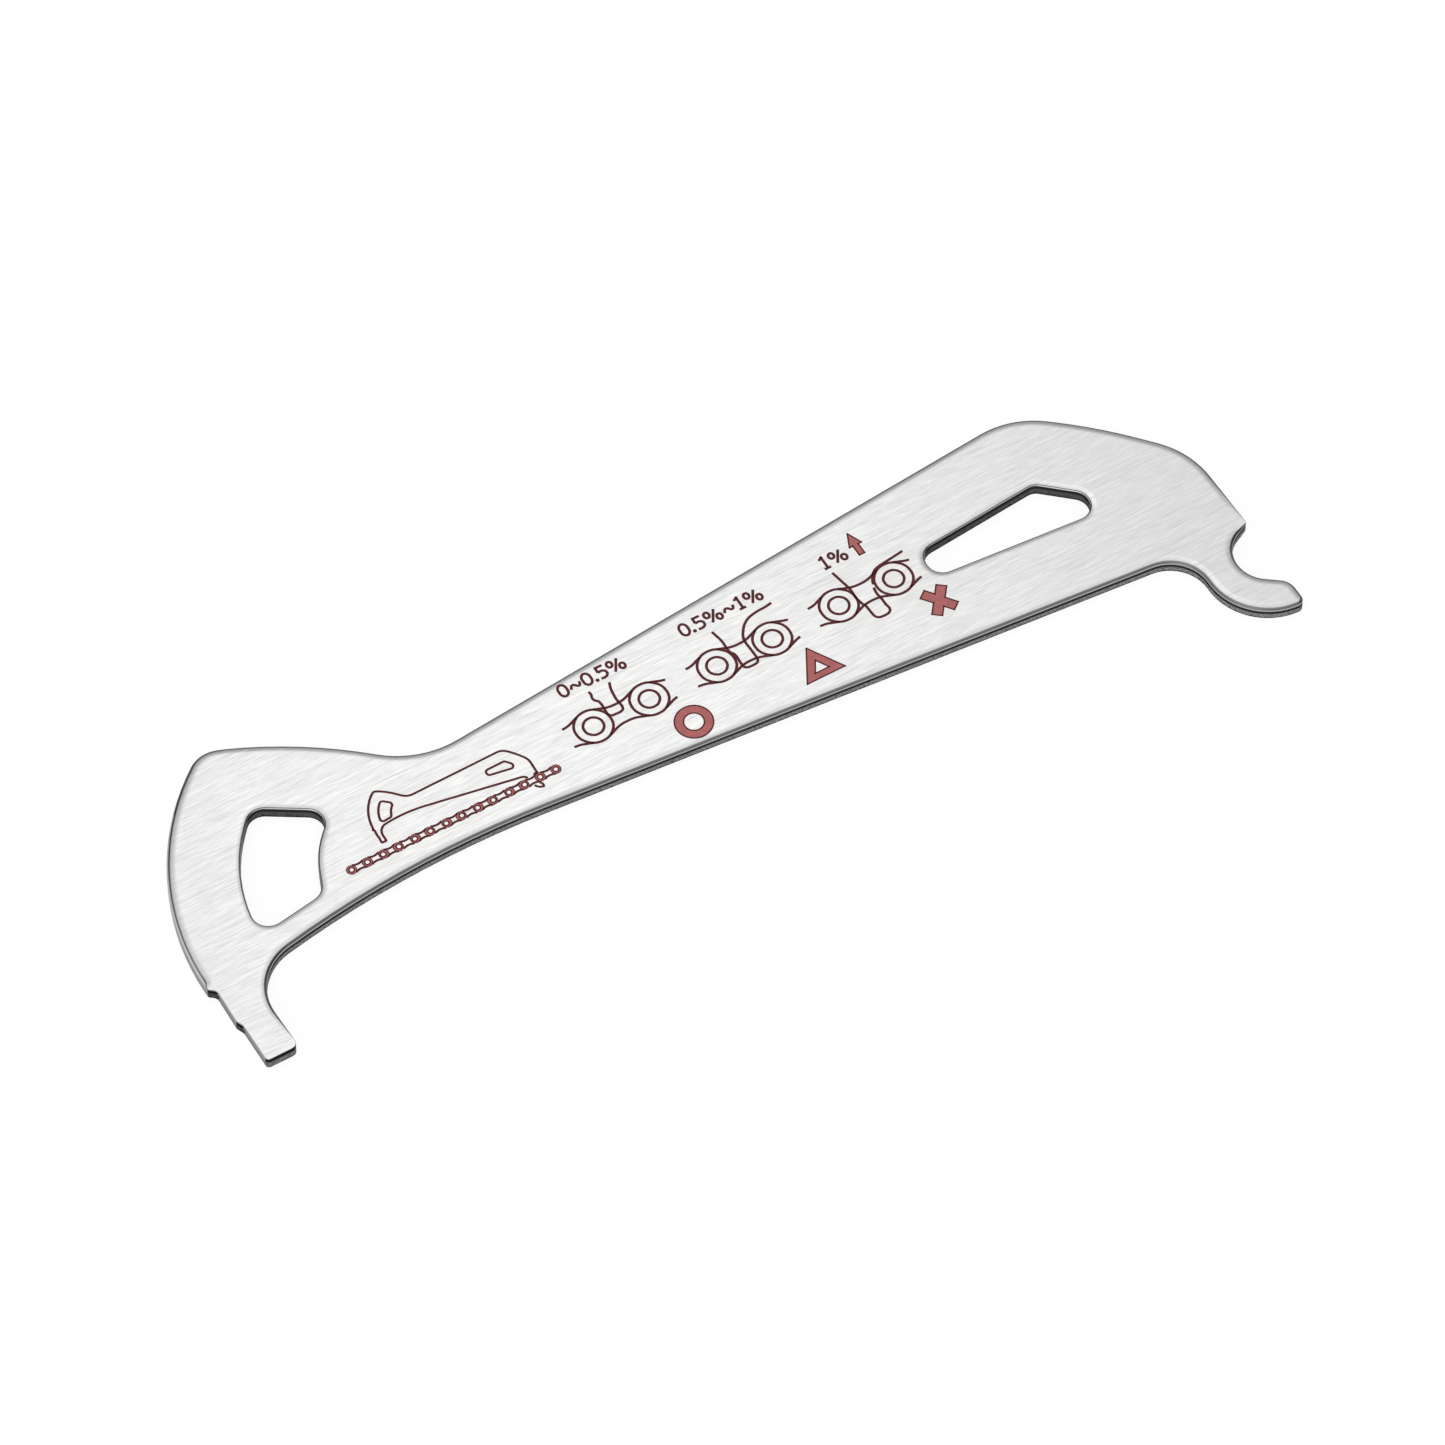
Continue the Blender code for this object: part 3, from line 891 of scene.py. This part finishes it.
class GAUGE_OT_finish_plate(bpy.types.Operator):
    """Gives the plate its brushed face and its blanked, pierced and ground edges"""

    bl_idname = "gauge.finish_plate"
    bl_label = "Plate"

    def execute(self, context):
        look = settings("plate")
        pick(bpy.data.objects[PLATE_NODE])
        bpy.ops.object.duplicate()
        plate = context.object
        plate.name = plate.data.name = "finished_plate"
        # The copy is a piece of its own, so it drops the marks of the CAD node
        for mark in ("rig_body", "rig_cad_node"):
            del plate[mark]
        plate.parent = None
        pick(plate)
        bpy.ops.object.mode_set(mode="EDIT")
        bpy.ops.mesh.select_all(action="SELECT")
        bpy.ops.mesh.remove_doubles(threshold=MERGE_DISTANCE)
        bpy.ops.object.mode_set(mode="OBJECT")
        drawn_at = draw_down_edges(plate, look.roll_depth)

        plate.data.materials.clear()
        for material in (
            brushed_stainless("brushed_stainless_face", FACE_SCRATCHES),
            brushed_stainless("brushed_stainless_back", BACK_SCRATCHES),
            blanked_steel("blanked_stainless_edge", BLANKED_ZONES, BROKEN_ZONES),
            blanked_steel("pierced_stainless_edge", PIERCED_ZONES, BROKEN_ZONES),
            blanked_steel("ground_stainless_edge", GROUND_ZONES, UNBROKEN_ZONES),
            blanked_steel("square_stainless_edge", SQUARE_ZONES, BROKEN_ZONES),
        ):
            plate.data.materials.append(material)
        give_walls_materials(plate, drawn_at)
        bpy.ops.object.shade_smooth_by_angle(angle=PLATE_SMOOTHING)
        # The burr tilts smooth normals beside it, which would show as patches on the flat back
        for polygon in plate.data.polygons:
            if polygon.normal.z < -FLAT:
                polygon.use_smooth = False
        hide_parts(PLATE_NODE)
        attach(plate, BODY)
        return {"FINISHED"}


class GAUGE_OT_print_roller_views(bpy.types.Operator):
    """Prints the three views of the peg between two rollers"""

    bl_idname = "gauge.print_roller_views"
    bl_label = "Roller Views"

    def execute(self, context):
        width = settings("print").line_width
        lines = []
        for start, peg in zip(ROLLER_VIEWS, PEG_OUTLINES):
            for offset in (0.0, ROLLER_SPACING):
                centre = (start[0] + offset, start[1])
                for radius in (ROLLER_OUTER, ROLLER_BORE):
                    lines.append(printed_line(circle(centre, radius), width, closed=True))
            for edge in LINK_EDGES:
                for flip in (1, -1):
                    lines.append(printed_line(moved(edge, start, flip), width))
            lines.append(printed_line(moved(peg, start), width))
        lines.append(printed_line(moved(BODY_EDGE, ROLLER_VIEWS[-1]), width))
        finish_print("printed_roller_views", lines, [])
        return {"FINISHED"}


class GAUGE_OT_print_readings(bpy.types.Operator):
    """Prints the readings in per cent above the views"""

    bl_idname = "gauge.print_readings"
    bl_label = "Readings"

    def execute(self, context):
        width = settings("print").line_width
        lines = []
        for figures, (x, y) in READINGS:
            for figure in figures:
                breadth, strokes = FIGURES[figure]
                for points, closed, rounded in strokes:
                    places = [(x + u * FIGURE_HEIGHT, y + v * FIGURE_HEIGHT) for u, v in points]
                    lines.append(printed_line(places, width, closed, rounded))
                x += breadth * FIGURE_HEIGHT + FIGURE_GAP
        finish_print("printed_readings", lines, [])
        return {"FINISHED"}


class GAUGE_OT_print_signs(bpy.types.Operator):
    """Prints the ring, the triangle, the cross and the arrow"""

    bl_idname = "gauge.print_signs"
    bl_label = "Signs"

    def execute(self, context):
        width = settings("print").border_width
        x, y = CROSS_CENTRE
        reach_x, reach_y = CROSS_REACH
        length = math.hypot(reach_x, reach_y)
        along = Vector((reach_x, reach_y)) / length
        across = Vector((-along.y, along.x))
        notch_x = CROSS_ARM / along.y
        notch_y = CROSS_ARM / along.x
        tip = (along * length + across * CROSS_ARM, along * length - across * CROSS_ARM)
        cross = [
            (0, notch_y), tip[0], tip[1], (notch_x, 0),
            (tip[1][0], -tip[1][1]), (tip[0][0], -tip[0][1]), (0, -notch_y),
            -tip[0], -tip[1], (-notch_x, 0), (-tip[1][0], tip[1][1]), (-tip[0][0], tip[0][1]),
        ]
        cross = [(x + point[0], y + point[1]) for point in cross]
        signs = (
            (
                circle(RING_CENTRE, RING_OUTER, RING_OUTER_POINTS),
                circle(RING_CENTRE, RING_INNER, RING_INNER_POINTS),
            ),
            (TRIANGLE_OUTER, TRIANGLE_INNER),
            (cross,),
            (ARROW,),
        )
        fields = [printed_field(loops) for loops in signs]
        lines = [
            printed_line(loop, width, closed=True, rounded=False)
            for loops in signs for loop in loops
        ]
        finish_print("printed_signs", lines, fields)
        return {"FINISHED"}


def runs_clear_of(points, chain_height, band):
    """Runs of a closed loop of points that keep clear of the chain, which hides the rest."""
    clear = [abs(y - chain_height(x)) > band for x, y in points]
    if all(clear):
        return [points + points[:1]]
    first = next(i for i in range(len(points)) if clear[i] and not clear[i - 1])
    runs = [[]]
    for i in range(len(points)):
        at = (first + i) % len(points)
        if clear[at]:
            runs[-1].append(points[at])
        elif runs[-1]:
            runs.append([])
    return [run for run in runs if len(run) > 2]


class GAUGE_OT_print_gauge_picture(bpy.types.Operator):
    """Prints the small picture of the gauge on its chain"""

    bl_idname = "gauge.print_gauge_picture"
    bl_label = "Gauge Picture"

    def execute(self, context):
        border, fine = settings("print").border_width, settings("print").fine_width
        start, end = Vector(CHAIN_START), Vector(CHAIN_END)
        last = CHAIN_ROLLERS - 1
        step = (end - start) / last
        lines, fields = [], []
        for i in range(CHAIN_ROLLERS):
            centre = start + step * i
            lean = CHAIN_PLATE_LEAN if i % 2 == 0 else -CHAIN_PLATE_LEAN
            if i in (0, 1, last - 1, last):
                lean = 0.0
            plate = circle((centre.x + lean, centre.y), CHAIN_PLATE_END, CHAIN_PLATE_POINTS)
            bore = circle(centre, CHAIN_ROLLER_BORE, CHAIN_BORE_POINTS)
            fields.append(printed_field((plate, bore)))
            lines.append(printed_line(
                plate, border * CHAIN_PLATE_BORDER, closed=True, rounded=False))
            lines.append(printed_line(circle(centre, CHAIN_ROLLER_BORE), border, closed=True))
            if i < last:
                for flip in (1, -1):
                    lines.append(printed_line(moved(CHAIN_LINK_EDGE, centre, flip), fine))

        def chain_height(x):
            """Height of the chain's line of centres there."""
            return start.y + (end.y - start.y) * (x - start.x) / (end.x - start.x)

        hooked = start + step * HOOKED_ROLLER
        mesh = bmesh.new()
        mesh.from_mesh(bpy.data.objects[PLATE_NODE].data)
        bmesh.ops.remove_doubles(mesh, verts=mesh.verts, dist=MERGE_DISTANCE)
        loops = [[vert.co.to_2d() for vert in loop] for loop in face_loops(mesh)[1]]
        mesh.free()
        for loop in loops:
            drawn = []
            for place, left in spread(loop, PICTURE_SPACING):
                u = (place.x / MM - HOOK_CENTRE[0]) * PICTURE_SCALE[0]
                v = (place.y / MM - HOOK_CENTRE[1]) * PICTURE_SCALE[1]
                drawn.append((
                    hooked.x + u * math.cos(PICTURE_TURN) - v * math.sin(PICTURE_TURN),
                    hooked.y + u * math.sin(PICTURE_TURN) + v * math.cos(PICTURE_TURN)))
            for run in runs_clear_of(drawn, chain_height, CHAIN_PLATE_END):
                lines.append(printed_line(run, fine, rounded=False))
        finish_print("printed_gauge_picture", lines, fields)
        return {"FINISHED"}


def matt_white_paper(colour, paleness):
    """Matt white studio paper. To the eye and in reflections it is mostly a plain white."""
    material, tree, shader, place = new_material("matt_white_paper")
    shader.inputs["Base Color"].default_value = linear(colour)
    shader.inputs["Roughness"].default_value = 1.0
    shader.inputs["Specular IOR Level"].default_value = 0.0
    path = add_node(tree, "LightPath")
    seen = add_node(tree, "Math", {
        0: path.outputs["Is Camera Ray"], 1: path.outputs["Is Glossy Ray"]}, operation="ADD")
    seen = add_node(tree, "Math", {
        0: seen.outputs["Value"], 1: path.outputs["Is Transmission Ray"]},
        operation="ADD", use_clamp=True)
    share = add_node(tree, "Math", {0: seen.outputs["Value"], 1: paleness}, operation="MULTIPLY")
    plain = add_node(tree, "Emission", {"Color": (1, 1, 1, 1), "Strength": 1.0})
    mixed = add_node(tree, "MixShader", {
        0: share.outputs["Value"], 1: shader.outputs["BSDF"], 2: plain.outputs["Emission"]})
    tree.links.new(mixed.outputs["Shader"], tree.nodes["Material Output"].inputs["Surface"])
    return material


def lay_floor(look):
    """Lays the floor just under the gauge."""
    deselect()
    bpy.ops.mesh.primitive_plane_add(size=look.floor_size, location=(0, 0, -FLOOR_GAP))
    floor = bpy.context.object
    floor.name = floor.data.name = "studio_floor"
    bpy.ops.object.transform_apply(location=True, rotation=True, scale=True)
    floor.data.materials.append(matt_white_paper(look.floor, look.paleness))


def light_room(look):
    """Gives the room its pale ceiling and its three lit walls."""
    world = bpy.data.worlds.new("white_room")
    bpy.context.scene.world = world
    world.use_nodes = True
    tree = world.node_tree
    direction = add_node(tree, "TexCoord").outputs["Generated"]
    toward = add_node(tree, "VectorMath", {
        0: direction, 1: Vector(CEILING_DIRECTION).normalized()}, operation="DOT_PRODUCT")
    ceiling = set_ramp(add_node(tree, "ValToRGB", {"Fac": toward.outputs["Value"]}), [
        (at, (level, level, level, 1)) for at, level in CEILING_LEVELS])
    total = add_node(tree, "VectorMath", {
        0: ceiling.outputs["Color"], "Scale": look.light}, operation="SCALE")
    for aim, level in (
            (LEFT_DIRECTION, look.left_light), (FRONT_DIRECTION, look.front_light),
            (BACK_DIRECTION, look.back_light)):
        aside = add_node(tree, "VectorMath", {
            0: direction, 1: Vector(aim).normalized()}, operation="DOT_PRODUCT")
        wall = add_node(tree, "MapRange", {
            "Value": aside.outputs["Value"], "From Min": LIT_EDGE, "From Max": LIT_CORE,
            "To Max": level})
        total = add_node(tree, "VectorMath", {
            0: total.outputs["Vector"], 1: wall.outputs["Result"]}, operation="ADD")
    tree.links.new(total.outputs["Vector"], tree.nodes["Background"].inputs["Color"])


def set_softbox(look):
    """Sets the softbox behind and above the gauge."""
    toward = Vector(SOFTBOX_DIRECTION)
    bpy.ops.object.light_add(
        type="AREA", location=Vector(SOFTBOX_AIM) + toward * SOFTBOX_DISTANCE)
    softbox = bpy.context.object
    softbox.name = softbox.data.name = "softbox"
    softbox.rotation_euler = toward.to_track_quat("Z", "Y").to_euler()
    softbox.data.size = look.softbox_size
    softbox.data.energy = look.softbox_power
    softbox.visible_camera = False


def aim_camera():
    """Aims the camera as the photograph was taken."""
    back = Vector((
        math.sin(CAMERA_AZIMUTH) * math.cos(CAMERA_ELEVATION),
        -math.cos(CAMERA_AZIMUTH) * math.cos(CAMERA_ELEVATION),
        math.sin(CAMERA_ELEVATION)))
    bpy.ops.object.camera_add(location=CAMERA_TARGET + back * CAMERA_DISTANCE)
    camera = bpy.context.object
    camera.rotation_euler = (-back).to_track_quat("-Z", "Y").to_euler()
    camera.data.lens = CAMERA_LENS
    bpy.context.scene.camera = camera


class GAUGE_OT_build_studio(bpy.types.Operator):
    """Adds the floor, the light and the camera"""

    bl_idname = "gauge.build_studio"
    bl_label = "Studio"

    def execute(self, context):
        look = settings("studio")
        lay_floor(look)
        light_room(look)
        set_softbox(look)
        aim_camera()
        context.scene.view_settings.view_transform = "Standard"
        return {"FINISHED"}


PIECE_OPERATORS = (
    GAUGE_OT_finish_plate,
    GAUGE_OT_print_roller_views,
    GAUGE_OT_print_readings,
    GAUGE_OT_print_signs,
    GAUGE_OT_print_gauge_picture,
    GAUGE_OT_build_studio,
)


class GAUGE_PT_sidebar(bpy.types.Panel):
    """Lists the pieces of the gauge and their settings"""

    bl_idname = "GAUGE_PT_sidebar"
    bl_label = "Chain Gauge"
    bl_space_type = "VIEW_3D"
    bl_region_type = "UI"
    bl_category = "Chain Gauge"

    def draw(self, context):
        for operator in PIECE_OPERATORS:
            self.layout.operator(operator.bl_idname)
        for kind in SETTINGS:
            group = settings(kind)
            for name in group.__annotations__:
                self.layout.prop(group, name)


CLASSES = (*SETTINGS.values(), *PIECE_OPERATORS, GAUGE_PT_sidebar)


def register():
    for item in CLASSES:
        bpy.utils.register_class(item)
    for kind, group in SETTINGS.items():
        setattr(bpy.types.Scene, "gauge_" + kind, bpy.props.PointerProperty(type=group))


def unregister():
    for kind in SETTINGS:
        delattr(bpy.types.Scene, "gauge_" + kind)
    for item in reversed(CLASSES):
        bpy.utils.unregister_class(item)


def main():
    """Builds every piece in order."""
    register()
    for operator in PIECE_OPERATORS:
        group, name = operator.bl_idname.split(".")
        getattr(getattr(bpy.ops, group), name)()


if __name__ == "__main__":
    main()
